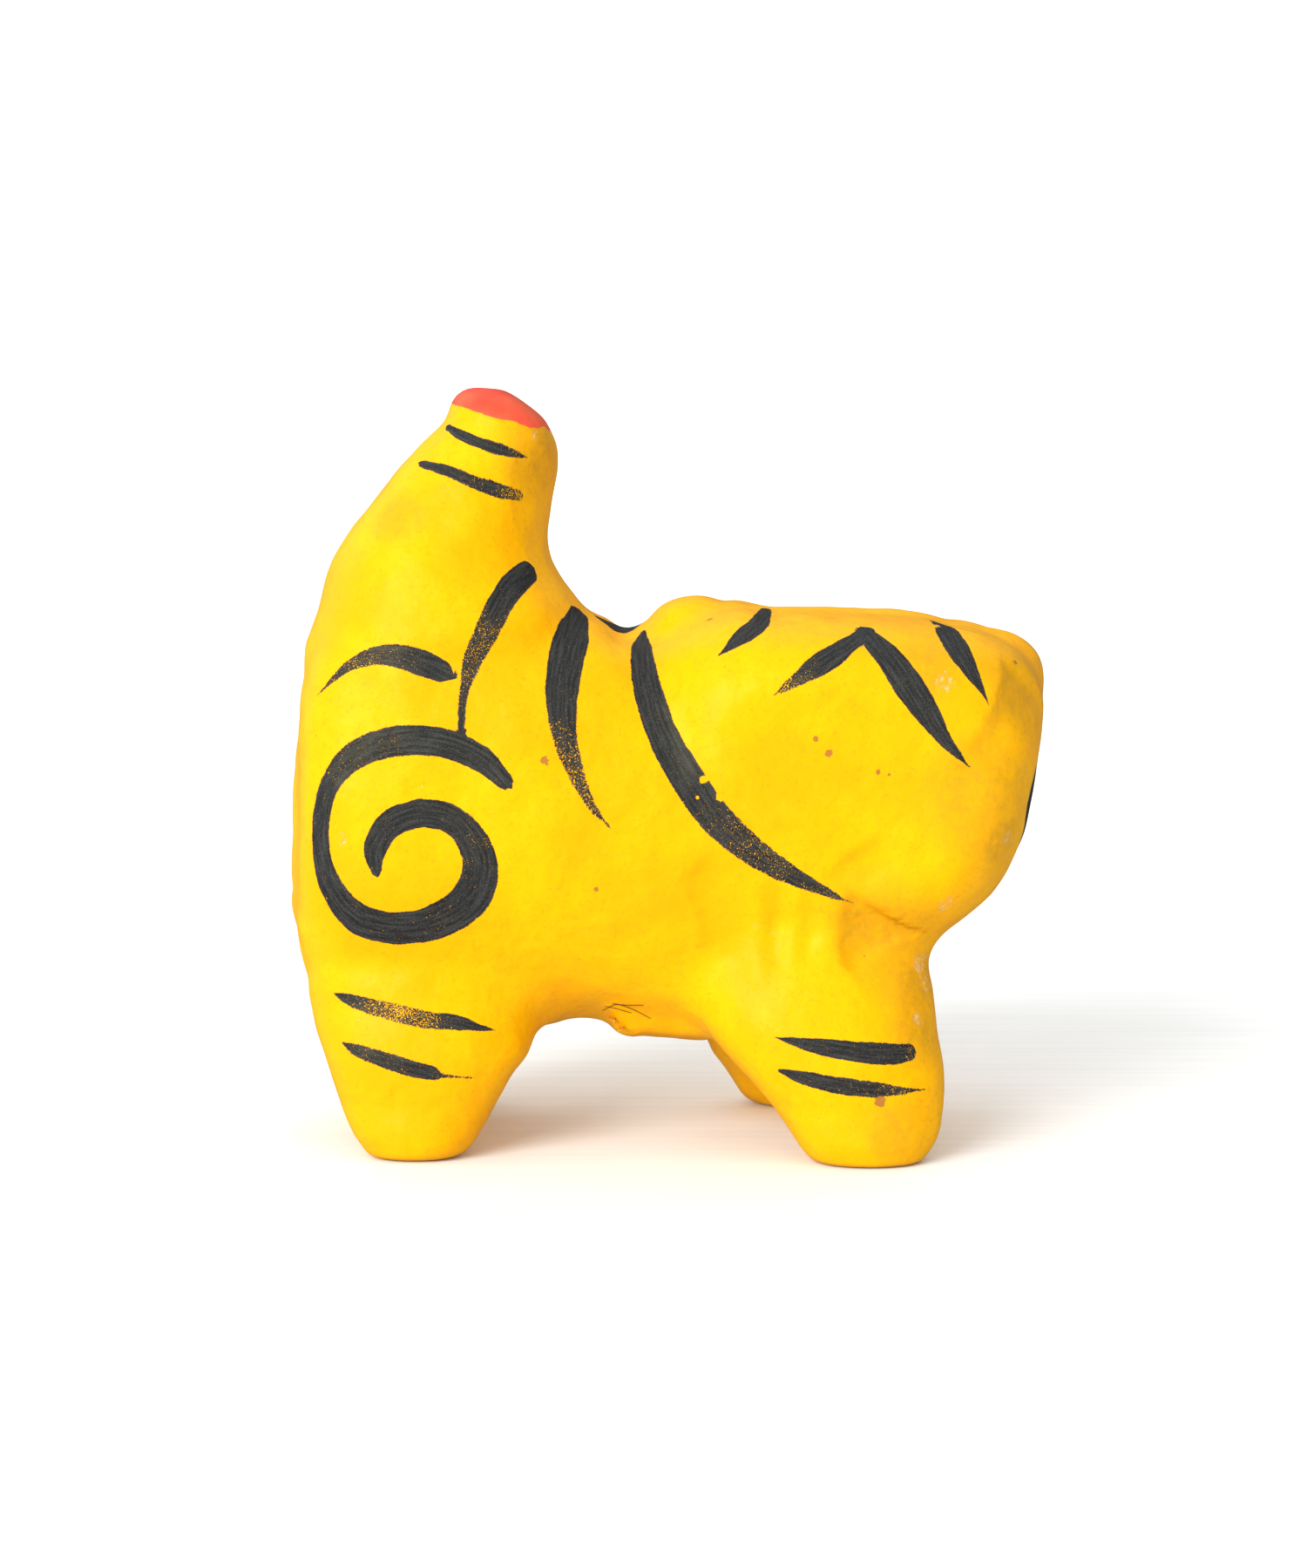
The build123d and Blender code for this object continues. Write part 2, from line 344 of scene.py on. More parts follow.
head_back_strokes = {
    "neck": [
        (-6.4, 134.6, 0.5, 0), (-7, 130.6, 2.7, 0), (-5.4, 121.5, 3.7, 0.1), (-1.2, 109.7, 4.0, 0),
        (5.4, 98.6, 4.4, 0.05), (13.4, 88, 4.2, 0.35), (23.8, 79.3, 3.4, 0.5), (35.1, 72.9, 1.9, 0.4),
        (47.5, 67.2, 0, 0.5),
    ],
    "chevron_left": [
        (26.5, 120.6, 0, 0.9), (33.5, 125.3, 2.0, 0.5), (40.5, 129.8, 3.4, 0), (50.7, 136.2, 1.9, 0),
    ],
    "chevron_right": [
        (50.2, 136.4, 1.9, 0), (53.5, 132.8, 3.5, 0), (57, 128.8, 3.7, 0), (64, 118.8, 3.6, 0),
        (70.2, 109.4, 1.8, 0.1), (77, 101.8, 0, 0.2),
    ],
    "ear_mark_left": [
        (25.8, 140.2, 1.4, 0), (23.5, 137.8, 2.7, 0), (19.5, 135.2, 3.0, 0), (12.6, 130.1, 0, 0.2),
    ],
    "ear_mark_right": [
        (69.6, 139.6, 0.3, 0), (71.4, 136.4, 2.9, 0), (73.9, 131.7, 3.5, 0), (76.9, 126.5, 2.2, 0),
        (79.6, 121.8, 0.8, 0), (81.6, 117.6, 0, 0),
    ],
}
face_strokes = {
    "brow_middle": [(46.5, 134, 1.4, 0), (46.5, 128, 2.5, 0), (46.5, 113, 0, 0.4)],
    "brow_left": [(35.5, 133, 1.3, 0), (36.5, 128, 2.3, 0), (39.5, 116, 0, 0.4)],
    "brow_right": [(57.5, 133, 1.3, 0), (56.5, 128, 2.3, 0), (53.5, 116, 0, 0.4)],
    "lid_left": [
        (16.5, 99, 0, 0), (20, 106, 1.5, 0), (27.5, 109.5, 1.9, 0), (36, 104.5, 1.5, 0), (39, 97.5, 0, 0),
    ],
    "lid_right": [
        (76.5, 99, 0, 0), (73, 106, 1.5, 0), (65.5, 109.5, 1.9, 0), (57, 104.5, 1.5, 0), (54, 97.5, 0, 0),
    ],
    "under_left": [(17, 98.6, 0, 0), (22, 94.6, 0.9, 0), (30, 93, 1.0, 0), (38.5, 97, 0, 0.3)],
    "under_right": [(76, 98.6, 0, 0), (71, 94.6, 0.9, 0), (63, 93, 1.0, 0), (54.5, 97, 0, 0.3)],
    "pupil_left": [(29, 102.5, 3.6, 0), (29.4, 99.6, 3.8, 0)],
    "pupil_right": [(64, 102.5, 3.6, 0), (63.6, 99.6, 3.8, 0)],
    "nose_top": [(40.5, 88.5, 2.2, 0), (46.5, 89, 2.8, 0), (52.5, 88.5, 2.2, 0)],
    "nose_tip": [(46.5, 87.5, 4.8, 0), (46.5, 82.5, 1.2, 0), (46.5, 74, 1.1, 0)],
    "mouth_left": [(46.5, 74, 1.2, 0), (41, 69.4, 1.5, 0), (34.5, 70.2, 1.2, 0), (30, 74.5, 0, 0.4)],
    "mouth_right": [(46.5, 74, 1.2, 0), (52, 69.4, 1.5, 0), (58.5, 70.2, 1.2, 0), (63, 74.5, 0, 0.4)],
    "cheek_upper_left": [(3, 95, 2.2, 0), (9, 91, 2.2, 0.1), (19, 86, 0, 0.6)],
    "cheek_lower_left": [(5, 82, 2.2, 0), (11, 79, 2.2, 0.1), (20, 76, 0, 0.6)],
}
eye_whites = {"left": (28, 100.5, 10, 7), "right": (65, 100.5, 10, 7)}  # x, z and half sizes of each oval
# Strokes that run over the back: (x, y, half width, dryness)
back_strokes = {
    "spine_front": [
        (-18, -8.6, 1.6, 0), (-14.5, -9, 3.0, 0), (-11.5, -4, 3.2, 0), (-7.5, 5, 3.0, 0.1), (-4, 15, 0, 0.5),
    ],
}
# Strokes on the end of the head towards the chest: (y, z, half width, dryness)
cheek_strokes = {
    "cheek_stripe": [
        (-12, 106, 0.4, 0), (-21, 99, 3.2, 0), (-25, 91, 4.0, 0), (-22.5, 82, 3.0, 0.1), (-15, 75, 0, 0.5),
    ],
    "cheek_upper": [(7, 100, 0.4, 0), (18, 96.5, 2.5, 0), (28, 93.5, 2.2, 0.1), (36.5, 90, 0, 0.5)],
    "cheek_lower": [(7, 84, 0.4, 0), (18, 82.3, 2.5, 0), (27, 80.5, 2.1, 0.1), (35, 78.5, 0, 0.5)],
}

# Folds and facets of the hand-laid paper: points (x, z) of a line, its depth and its width in millimetres,
# and whether it is a dent on both sides of the line or a facet on one side
right_folds = {
    "chest_facet": ([(48.4, 73), (44.6, 68), (43.2, 60), (43.6, 53), (47, 48)], 2.6, 9, "facet"),
    "head_arc": ([(57, 86.5), (50, 83), (44, 79), (38.5, 73)], 0.9, 4, "facet"),
    "chest_fold_front": ([(27.5, 75), (28.4, 66), (27.4, 57), (27.5, 49)], 0.7, 3, "dent"),
    "chest_fold_middle": ([(35.5, 72), (36.2, 63), (35, 53)], 0.5, 3, "dent"),
    "chest_fold_back": ([(0.6, 74), (6.2, 67), (8.2, 59), (6.9, 52)], 0.8, 5, "facet"),
    "head_ridge": ([(84.8, 130.5), (85.2, 125), (82.8, 119), (79, 112), (74, 105)], 1.9, 8, "facet"),
    "tail_fold": ([(-38, 186), (-41, 176), (-40, 163), (-35.5, 153)], 0.5, 6, "facet"),
    "tail_crease": ([(-55, 173), (-58.5, 164), (-65, 154)], 0.5, 5, "dent"),
    "knee_crease": ([(-67, 23), (-71.6, 19), (-72, 14)], 0.35, 1.5, "facet"),
}
left_folds = {
    "left_flank_fold": ([(-30, 95), (-20, 84), (-16, 70)], 0.7, 6, "dent"),
    "left_rump_facet": ([(-70, 60), (-60, 48), (-58, 38)], 0.9, 7, "facet"),
    "left_tail_crease": ([(-45, 182), (-52, 168), (-50, 155)], 0.6, 5, "dent"),
}

# Where the outline is fuller (+) or leaner (-) than the plain forms: the two ends of a line in X and Z, how
# far round it the change reaches, and its height, all in millimetres
swells = {
    "tail_top": (-52, 198, -45, 197, 6, 1.5),
    "tail_top_back": (-58, 195, -59, 192, 4, -0.4),
    "tail_top_front": (-33, 195, -29.5, 184, 5, -1.0),
    "tail_inner": (-30, 172, -32, 152, 8, 0.9),
    "haunch": (-86, 156, -94, 130, 8, -0.7),
    "rump_middle": (-98, 100, -99, 86, 8, -0.9),
    "rump_low": (-99, 57, -95, 36, 8, 1.1),
    "hind_arch": (-38, 27, -31, 32, 5, 1.6),
    "belly_behind_patch": (-27, 35, -17, 36, 5, -1.4),
    "patch_hollow": (-20, 34, -17.5, 33, 3, -0.8),
    "patch_lip": (-12.5, 30, -9.5, 29.5, 2.6, 1.0),
    "ear_crest": (-3, 139, 17, 141, 6, 1.8),
    "back_dip": (-12, 135, -6, 136, 4, -1.4),
    "crown": (29, 140, 72, 138, 7, -1.1),
    "crown_right": (74, 138, 94, 132, 5, -0.7),
    "head_corner": (96, 130, 98.5, 119, 6, 1.3),
    "head_front_low": (97, 102, 93, 79, 8, -1.2),
    "front_leg_edge": (70, 52, 73, 8, 8, 1.2),
}
left_swells = {
    "front_leg_back": (14, 15, 21, 4, 5, 1.7),
}
sole_flare = 4 * MM  # how far the feet spread outward at the ground
flare_height = 16 * MM  # where that spread begins
sole_corner = 0.7 * MM  # how much wider the trodden edge of each sole is than its rounded form
corner_height = 3.5 * MM
sole_reach = 25 * MM  # radius around a sole's middle that its trodden edge lies within


def reshaped(skin, normals):
    """The skin with the swells and the spread feet."""
    shift = np.zeros_like(skin)
    in_side_view = normals * (1, 0, 1)
    outward = np.sign(skin[:, 1] - middle_plane_y())
    spots = skin[:, [0, 2]] / MM
    for group, where in ((swells, np.ones(len(skin))), (left_swells, outward > 0)):
        for x_start, z_start, x_end, z_end, reach, height in group.values():
            start = np.array([x_start, z_start])
            run = np.array([x_end - x_start, z_end - z_start])
            share = ((spots - start) @ run / (run @ run)).clip(0, 1)
            gap = np.linalg.norm(spots - start - share[:, None] * run, axis=1)
            shift += height * MM * (where * np.exp(-((gap / reach) ** 2)))[:, None] * in_side_view
    shift[:, 1] += outward * sole_flare * smooth_step(skin[:, 2], flare_height, 1 * MM)
    low_down = smooth_step(skin[:, 2], corner_height, 0)
    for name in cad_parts:
        if "_sole_" in name:
            low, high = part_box(name)
            offset = skin[:, :2] - np.array([(low.x + high.x) / 2, (low.y + high.y) / 2])
            gap = np.linalg.norm(offset, axis=1, keepdims=True).clip(1e-6)
            near = (gap[:, 0] < sole_reach) * low_down * smooth_step(gap[:, 0], 0, 8 * MM)
            shift[:, :2] += sole_corner * near[:, None] * offset / gap
    return skin + shift


stroke_reach = 12 * MM  # skin points farther than this from a stroke's line are left out
stroke_rim = 4.0  # millimetres outside a stroke's edge that still carry its fields
no_stroke = -10.0  # half width in millimetres where there is no stroke


def ink_fields(skin, normals, paths):
    """Fields that describe, at each skin point, the black stroke that it is deepest in or nearest to: the
    place across and along it, its half width, how dry the brush was, and the distance inside its edge. All
    but the dryness are in millimetres."""
    across, along, dry = (np.zeros(len(skin)) for _ in range(3))
    half = np.full(len(skin), no_stroke)
    best = np.full(len(skin), -stroke_rim)
    for path in paths:
        index, run, aside = path.near(skin, normals, stroke_reach)
        inner = run.clip(0, path.lengths[-1])
        width = path.value(inner, 0).clip(0)
        beyond = abs(run - inner) / MM
        rounded = np.where(beyond < width, np.sqrt((width**2 - beyond**2).clip(0)), width - beyond)
        width = np.where(beyond > 0, rounded, width)
        inside = width - abs(aside) / MM
        wins = inside > best[index]
        index = index[wins]
        best[index] = inside[wins]
        across[index] = aside[wins] / MM
        along[index] = run[wins] / MM
        half[index] = width[wins]
        dry[index] = path.value(inner, 1)[wins]
    return {"ink_across": across, "ink_along": along, "ink_half": half, "ink_dry": dry, "ink_edge": best}


def dents(skin, normals, folds, side):
    """How far the folds move each skin point outward, in metres. A dent has a low lip on both sides, and a
    facet falls away on one side of its line only."""
    shift = np.zeros(len(skin))
    for line, depth, width, kind in folds.values():
        path = Path(side, line)
        index, run, aside = path.near(skin, normals, 4 * width * MM)
        inner = run.clip(0, path.lengths[-1])
        fade = np.exp(-(((run - inner) / (width * MM)) ** 2)) * smooth_step(inner, 0, 5 * MM)
        fade *= smooth_step(inner, path.lengths[-1], path.lengths[-1] - 5 * MM) * 0.6 + 0.4
        far = abs(aside) / (width * MM)
        if kind == "dent":
            profile = np.exp(-(far**2)) - 0.5 * np.exp(-(((far - 1.6) / 0.7) ** 2))
        else:
            profile = np.where(aside > 0, far * np.exp(1 - far), 0)
        profile = profile * smooth_step(far, 3.6, 1.8)
        shift[index] -= depth * MM * profile * fade
    return shift


def hand_waviness(skin):
    """The uneven surface of paper laid by hand, in metres: long waves, shorter waves and small lumps."""
    waves = ((34, 0.75), (15, 0.46), (6.5, 0.2))  # wavelength and height in millimetres
    apart = 7.3  # wavelengths that each layer is moved from the one before, so that they differ
    total = np.zeros(len(skin))
    for layer, (length, height) in enumerate(waves):
        spots = skin / (length * MM) + apart * layer
        total += height * MM * np.array([noise.noise(Vector(p)) for p in spots])
    return total


# ---------------------------------------------------------------- the paint
class Nodes:
    """Short calls that add nodes to a tree and link them. A value is a number or another node's output."""

    def __init__(self, tree):
        self.tree = tree
        tree.nodes.clear()

    def add(self, kind, inputs=(), **settings):
        node = self.tree.nodes.new(kind)
        for key, value in settings.items():
            setattr(node, key, value)
        for key, value in dict(inputs).items():
            if isinstance(value, bpy.types.NodeSocket):
                self.tree.links.new(value, node.inputs[key])
            else:
                node.inputs[key].default_value = value
        return node

    def math(self, operation, a, b=0.0, c=0.0):
        return self.add("ShaderNodeMath", {0: a, 1: b, 2: c}, operation=operation).outputs[0]

    def times(self, a, b):
        return self.math("MULTIPLY", a, b)

    def sum(self, total, *more):
        for value in more:
            total = self.math("ADD", total, value)
        return total

    def most(self, largest, *more):
        for value in more:
            largest = self.math("MAXIMUM", largest, value)
        return largest

    def around_zero(self, value, size):
        """A value from 0 to 1 moved to lie around 0, and scaled."""
        return self.times(self.math("SUBTRACT", value, 0.5), size)

    def ramp(self, value, low, high, bottom=0.0, top=1.0):
        """bottom below low, top above high, smooth between; high may be below low."""
        inputs = {0: value, 1: low, 2: high, 3: bottom, 4: top}
        return self.add("ShaderNodeMapRange", inputs, interpolation_type="SMOOTHSTEP").outputs[0]

    def noise(self, place, length, detail=2.0, rough=0.5):
        """Noise from 0 to 1 with lumps about this many millimetres long."""
        inputs = {"Vector": place, "Scale": 1 / length, "Detail": detail, "Roughness": rough}
        return self.add("ShaderNodeTexNoise", inputs).outputs[0]

    def mix(self, share, a, b):
        node = self.add("ShaderNodeMix", {0: share, 6: a, 7: b}, data_type="RGBA")
        return node.outputs[2]

    def attribute(self, name):
        return self.add("ShaderNodeAttribute", attribute_name=name).outputs["Fac"]

    def place(self):
        """The place on the object itself, in millimetres."""
        metres = self.add("ShaderNodeTexCoord").outputs["Object"]
        return self.add("ShaderNodeVectorMath", {0: metres, 3: 1 / MM}, operation="SCALE").outputs[0]

    def distance(self, place, centre):
        return self.add("ShaderNodeVectorMath", {0: place, 1: centre}, operation="DISTANCE").outputs["Value"]

    def surface(self, **inputs):
        """Ends the tree with a shader; an underscore in an input's name stands for a space."""
        named = {key.replace("_", " "): value for key, value in inputs.items()}
        shader = self.add("ShaderNodeBsdfPrincipled", named)
        self.add("ShaderNodeOutputMaterial", {"Surface": shader.outputs[0]})


def new_material(name):
    """A material and the means to fill its node tree."""
    material = bpy.data.materials.new(name)
    material.use_nodes = True
    return material, Nodes(material.node_tree)


yellow = (0.80, 0.393, 0.0, 1)
deep_yellow = (0.76, 0.340, 0.0, 1)
light_yellow = (0.82, 0.43, 0.004, 1)
# brown for grime and specks, and also for painted shade; olive for dirt mottled with painted shade
grime_and_shade_brown = (0.42, 0.20, 0.01, 1)
olive_dirt_and_shade = (0.36, 0.20, 0.012, 1)
red = (0.66, 0.050, 0.030, 1)
pale_red = (0.72, 0.105, 0.045, 1)
white_paint = (0.72, 0.70, 0.63, 1)
black_paint = (0.010, 0.011, 0.014, 1)
thin_black = (0.040, 0.041, 0.042, 1)
bare_paper = (0.30, 0.105, 0.03, 1)
pale_filler = (0.66, 0.44, 0.20, 1)
torn_yellow = (0.70, 0.33, 0.02, 1)
hair_brown = (0.10, 0.045, 0.015, 1)
floor_grey = (0.80, 0.81, 0.80, 1)
floor_white = (0.84, 0.85, 0.845, 1)

# Spots on the right side: (x, z, radius) in millimetres
brown_chips = {  # down to the paper
    "head_chip_upper": (37.5, 109.6, 0.7),
    "head_chip_middle": (40.7, 106, 0.9),
    "head_chip_low": (53.3, 101.1, 0.6),
    "head_chip_edge": (56.2, 100.5, 0.4),
    "head_chip_right": (89.2, 128, 0.6),
    "ear_chip": (10.6, 138.2, 0.9),
    "flank_chip": (-31.4, 104.1, 1.1),
    "belly_chip": (-18.5, 71.2, 0.6),
    "foot_chip": (53.9, 17.9, 1.5),
}
pale_chips = {  # down to the filler
    "chest_chip": (60.1, 61.7, 0.8),
    "shoulder_chip_low": (22.3, 60.7, 0.8),
    "shoulder_chip_high": (27, 59.6, 0.5),
    "rump_chip": (-83.3, 83.9, 1.5),
    "cheek_scuff": (71.2, 67, 2.0),
    "chest_scuff": (65.2, 50.5, 2.6),
    "chest_scuff_low": (66.2, 45.5, 2.2),
    "leg_scuff": (64.2, 37.1, 1.8),
    "jaw_scuff": (87, 83, 2.2),
    "head_scuff": (70.2, 124, 2.4),
    "tail_scuff": (-34.3, 185.5, 1.3),
}
dirt_and_shade_places = {  # handled and soiled, and painted shade: most spots lie where the figure turns away from the light
    "tail_front": (-35, 180, 13),
    "tail_back": (-70, 165, 9),
    "head_right": (89, 121, 15),
    "head_top": (66, 128, 10),
    "head_low": (80, 95, 18),
    "jaw": (84, 84, 12),
    "throat": (54, 61, 16),
    "chest_low": (63, 46, 12),
    "front_leg": (64, 34, 10),
    "front_foot": (58, 10, 9),
}
ink_gaps = {  # where the black paint has come off the yellow
    "neck_gap_upper": (9.0, 99.3, 1.2),
    "neck_gap_lower": (13.4, 95.2, 1.4),
    "neck_gap_small": (7.4, 94.6, 0.5),
}


def chips(nodes, place, ragged, spots, side):
    """Where the named spots are, 0 to 1, with torn outlines."""
    total = 0.0
    for x, z, radius in spots.values():
        gap = nodes.distance(place, side.on_skin(x, z) / MM)
        torn = nodes.math("ADD", nodes.math("DIVIDE", gap, radius), ragged)
        total = nodes.math("MAXIMUM", nodes.ramp(torn, 1.1, 0.85), total)
    return total


def dirt_and_painted_shade(nodes, place, side):
    """Handled, dirty places that also stand for painted shade, 0 to 1: as soft spots of painted shade, and
    as the same spots broken up by noise, dirt mottled with painted shade.
    """
    total = 0.0
    for x, z, radius in dirt_and_shade_places.values():
        gap = nodes.distance(place, side.on_skin(x, z) / MM)
        total = nodes.math("MAXIMUM", nodes.ramp(gap, 1.25 * radius, 0.2 * radius), total)
    return total, nodes.times(total, nodes.ramp(nodes.noise(place, 3.5, 6, 0.8), 0.42, 0.66))


def specks(nodes, place, spacing, radius, share):
    """Small dots, 0 to 1: one in each cell of this spacing, kept in only this share of the cells."""
    cells = nodes.add("ShaderNodeTexVoronoi", {"Vector": place, "Scale": 1 / spacing})
    dot = nodes.ramp(cells.outputs["Distance"], radius / spacing, 0.5 * radius / spacing)
    parts = nodes.add("ShaderNodeSeparateColor", {0: cells.outputs["Color"]})
    return nodes.times(dot, nodes.math("LESS_THAN", parts.outputs[0], share))


def black_strokes(nodes, place, grain):
    """The cover of the black paint, 0 to 1, and the streaks that the bristles left along it."""
    across, along = nodes.attribute("ink_across"), nodes.attribute("ink_along")
    half, dry = nodes.attribute("ink_half"), nodes.attribute("ink_dry")
    drawn_out = {0: nodes.times(across, 1.4), 1: nodes.times(along, 0.09)}
    streak = nodes.noise(nodes.add("ShaderNodeCombineXYZ", drawn_out).outputs[0], 1.0, 3, 0.6)
    outline = nodes.around_zero(nodes.noise(place, 5, 3, 0.6), 1.1)
    ragged = nodes.around_zero(grain, nodes.math("MULTIPLY_ADD", dry, 2.2, 0.5))
    depth_inside = nodes.sum(nodes.math("SUBTRACT", half, nodes.math("ABSOLUTE", across)), outline, ragged)
    near_stroke = nodes.ramp(nodes.attribute("ink_edge"), -0.7, -0.4)
    inside = nodes.times(nodes.ramp(depth_inside, -0.14, 0.14), near_stroke)
    patchy = nodes.times(nodes.noise(place, 4.5, 2), 0.14)
    texture = nodes.sum(nodes.times(grain, 0.9), nodes.times(streak, 0.08), patchy)
    bare_below = nodes.math("MULTIPLY_ADD", dry, 0.2, 0.35)
    cover = nodes.ramp(nodes.math("SUBTRACT", texture, bare_below), -0.02, 0.03)
    return nodes.times(inside, cover), streak


def aged_yellow(nodes, place, grain, clouds, side):
    """The yellow paint, thick and thin, with its soiling and specks, and painted shade in soft brown spots
    on the side away from the light.
    """
    colour = nodes.mix(nodes.ramp(clouds, 0.35, 0.62), deep_yellow, yellow)
    thick = nodes.ramp(nodes.noise(place, 11, 4, 0.6), 0.52, 0.75, 0, 0.35)
    colour = nodes.mix(thick, colour, light_yellow)
    soiled = nodes.ramp(nodes.noise(place, 16, 4, 0.65), 0.5, 0.72)
    grime = nodes.times(soiled, nodes.ramp(grain, 0.45, 0.75))
    colour = nodes.mix(nodes.times(grime, 0.4), colour, grime_and_shade_brown)
    # painted shade: soft brown spots, mostly on the side away from the light, then the same spots mottled
    # olive as dirt and painted shade
    painted_shade, mottled_dirt_and_shade = dirt_and_painted_shade(nodes, place, side)
    colour = nodes.mix(nodes.times(painted_shade, 0.42), colour, grime_and_shade_brown)
    colour = nodes.mix(nodes.times(mottled_dirt_and_shade, 0.4), colour, olive_dirt_and_shade)
    blotches = nodes.ramp(nodes.noise(place, 2.6, 4, 0.65), 0.45, 0.75, 0, 0.7)
    colour = nodes.mix(blotches, colour, deep_yellow)
    mottle = nodes.ramp(nodes.noise(place, 1.1, 3, 0.75), 0.52, 0.78, 0, 0.5)
    colour = nodes.mix(mottle, colour, grime_and_shade_brown)
    return nodes.mix(nodes.times(specks(nodes, place, 2.4, 0.16, 0.35), 0.45), colour, grime_and_shade_brown)


def painted_paper(side):
    """Yellow gloss paint over paper, with every stroke, spot and scuff at its place on the object itself."""
    material, nodes = new_material("painted_paper")
    place = nodes.place()
    grain = nodes.noise(place, 0.34, 3, 0.6)
    lumps = nodes.noise(place, 3.2, 3, 0.55)
    clouds = nodes.noise(place, 26, 3, 0.5)
    colour = aged_yellow(nodes, place, grain, clouds, side)
    red_paint = nodes.mix(nodes.ramp(clouds, 0.4, 0.6), red, pale_red)
    colour = nodes.mix(red_tail(nodes, place, lumps), colour, red_paint)
    in_eye = nodes.ramp(nodes.sum(nodes.attribute("eye_white"), nodes.times(lumps, 0.6)), 0.2, 0.45)
    colour = nodes.mix(in_eye, colour, white_paint)
    torn = nodes.around_zero(nodes.noise(place, 1.6, 4, 0.7), 2.6)
    ink, streak = black_strokes(nodes, place, grain)
    ink = nodes.times(ink, nodes.math("SUBTRACT", 1.0, chips(nodes, place, torn, ink_gaps, side)))
    ink_tone = nodes.sum(nodes.times(grain, 0.5), nodes.times(streak, 0.5))
    colour = nodes.mix(ink, colour, nodes.mix(nodes.ramp(ink_tone, 0.42, 0.62), black_paint, thin_black))
    rubbed = nodes.ramp(nodes.noise(place, 1.5, 4, 0.75), 0.46, 0.6)
    brown = nodes.most(chips(nodes, place, torn, brown_chips, side), specks(nodes, place, 7, 0.28, 0.22))
    scuffs = nodes.times(chips(nodes, place, torn, pale_chips, side), rubbed)
    pale = nodes.most(scuffs, specks(nodes, place, 9, 0.32, 0.18))
    colour = nodes.mix(nodes.times(pale, 0.7), colour, pale_filler)
    colour = nodes.mix(nodes.times(brown, 0.85), colour, bare_paper)

    bare = nodes.most(pale, brown)
    gloss = nodes.math("MULTIPLY_ADD", lumps, 0.22, 0.27)
    roughness = nodes.sum(gloss, nodes.times(bare, 0.35), nodes.times(ink, 0.06))
    waves = nodes.times(nodes.noise(place, 8, 2), 0.6)
    height = nodes.sum(nodes.times(grain, 0.028), nodes.times(lumps, 0.16), waves, nodes.times(ink, 0.03))
    height = nodes.math("SUBTRACT", height, nodes.times(bare, 0.08))
    bump = nodes.add("ShaderNodeBump", {"Strength": 1.0, "Distance": MM, "Height": height}).outputs[0]
    tint = (1.0, 0.9, 0.45, 1)
    nodes.surface(
        Base_Color=colour, Roughness=roughness, Normal=bump, Specular_IOR_Level=0.12, Specular_Tint=tint
    )
    return material


red_slope = 0.26  # the red paint's edge drops this much per millimetre towards the head


def red_tail(nodes, place, lumps):
    """The red end of the tail, above a slanting, slightly wavy line."""
    cap_low, cap_high = (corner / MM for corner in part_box("tail_end_cap"))
    axes = nodes.add("ShaderNodeSeparateXYZ", {0: place})
    above = nodes.sum(axes.outputs[2], nodes.times(axes.outputs[0], red_slope))
    above = nodes.math("SUBTRACT", above, cap_low.z + red_slope * cap_high.x)
    wave = nodes.around_zero(nodes.noise(place, 7, 2), 3.0)
    return nodes.ramp(nodes.sum(above, nodes.sum(wave, nodes.times(lumps, 0.5))), 0.1, 0.5)


# ---------------------------------------------------------------- the pieces
def named_parts(skin, quads, tree, owners):
    """For each quad of the skin, the index of the CAD node that it stands for."""
    centres = skin[quads].mean(1)
    return np.array([owners[tree.find_nearest(Vector(centre))[2]] for centre in centres])


def new_object(name, points, faces, material):
    """A smooth-shaded mesh, placed in the scene."""
    mesh = bpy.data.meshes.new(name)
    mesh.from_pydata([tuple(point) for point in points], [], faces)
    mesh.polygons.foreach_set("use_smooth", np.ones(len(faces), bool))
    mesh.materials.append(material)
    thing = bpy.data.objects.new(name, mesh)
    bpy.context.scene.collection.objects.link(thing)
    return thing


def stand_for(piece, node):
    """Fixes a piece to the body, in the place of this CAD node."""
    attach(piece, "root")
    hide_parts(node)


def closed_piece(name, skin, normals, quads, fields, material):
    """One node's patch of the skin as a closed shell: the patch, a copy deeper in, and walls between."""
    used, corners = np.unique(quads, return_inverse=True)
    outer = corners.reshape(-1, 4)
    count = len(used)
    edges = np.concatenate([outer[:, [i, (i + 1) % 4]] for i in range(4)])
    keys = set(map(tuple, edges.tolist()))
    rim = np.array([edge for edge in edges.tolist() if (edge[1], edge[0]) not in keys], int).reshape(-1, 2)
    walls = np.column_stack([rim[:, 1], rim[:, 0], rim[:, 0] + count, rim[:, 1] + count])
    points = np.concatenate([skin[used], skin[used] - skin_thickness * normals[used]])
    points[:, 2] = points[:, 2].clip(0)
    faces = np.concatenate([outer, outer[:, ::-1] + count, walls])
    piece = new_object(name + "_paper", points.tolist(), faces.tolist(), material)
    for key, values in fields.items():
        layer = piece.data.attributes.new(key, "FLOAT", "POINT")
        layer.data.foreach_set("value", np.tile(values[used], 2).astype(np.float32))
    both_sides = np.concatenate([normals[used], -normals[used]])
    piece.data.normals_split_custom_set_from_vertices(both_sides.tolist())
    stand_for(piece, name)


def mirrored(strokes):
    """The same strokes for the left side, as a second try of the same hand: a little smaller and thinner.
    The front leg's are moved back with that leg, which stands behind the right one."""
    leg_lag = (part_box("front_sole_right")[0].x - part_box("front_sole_left")[0].x) / MM
    copies = {}
    for name, rows in strokes.items():
        lag = leg_lag * 0.85 + 2 if name.startswith("front_mark") else 0.0
        copies[name] = [(x * 0.985 - 1 - lag, z * 0.99 + 0.6, half * 0.92, dry) for x, z, half, dry in rows]
    return copies


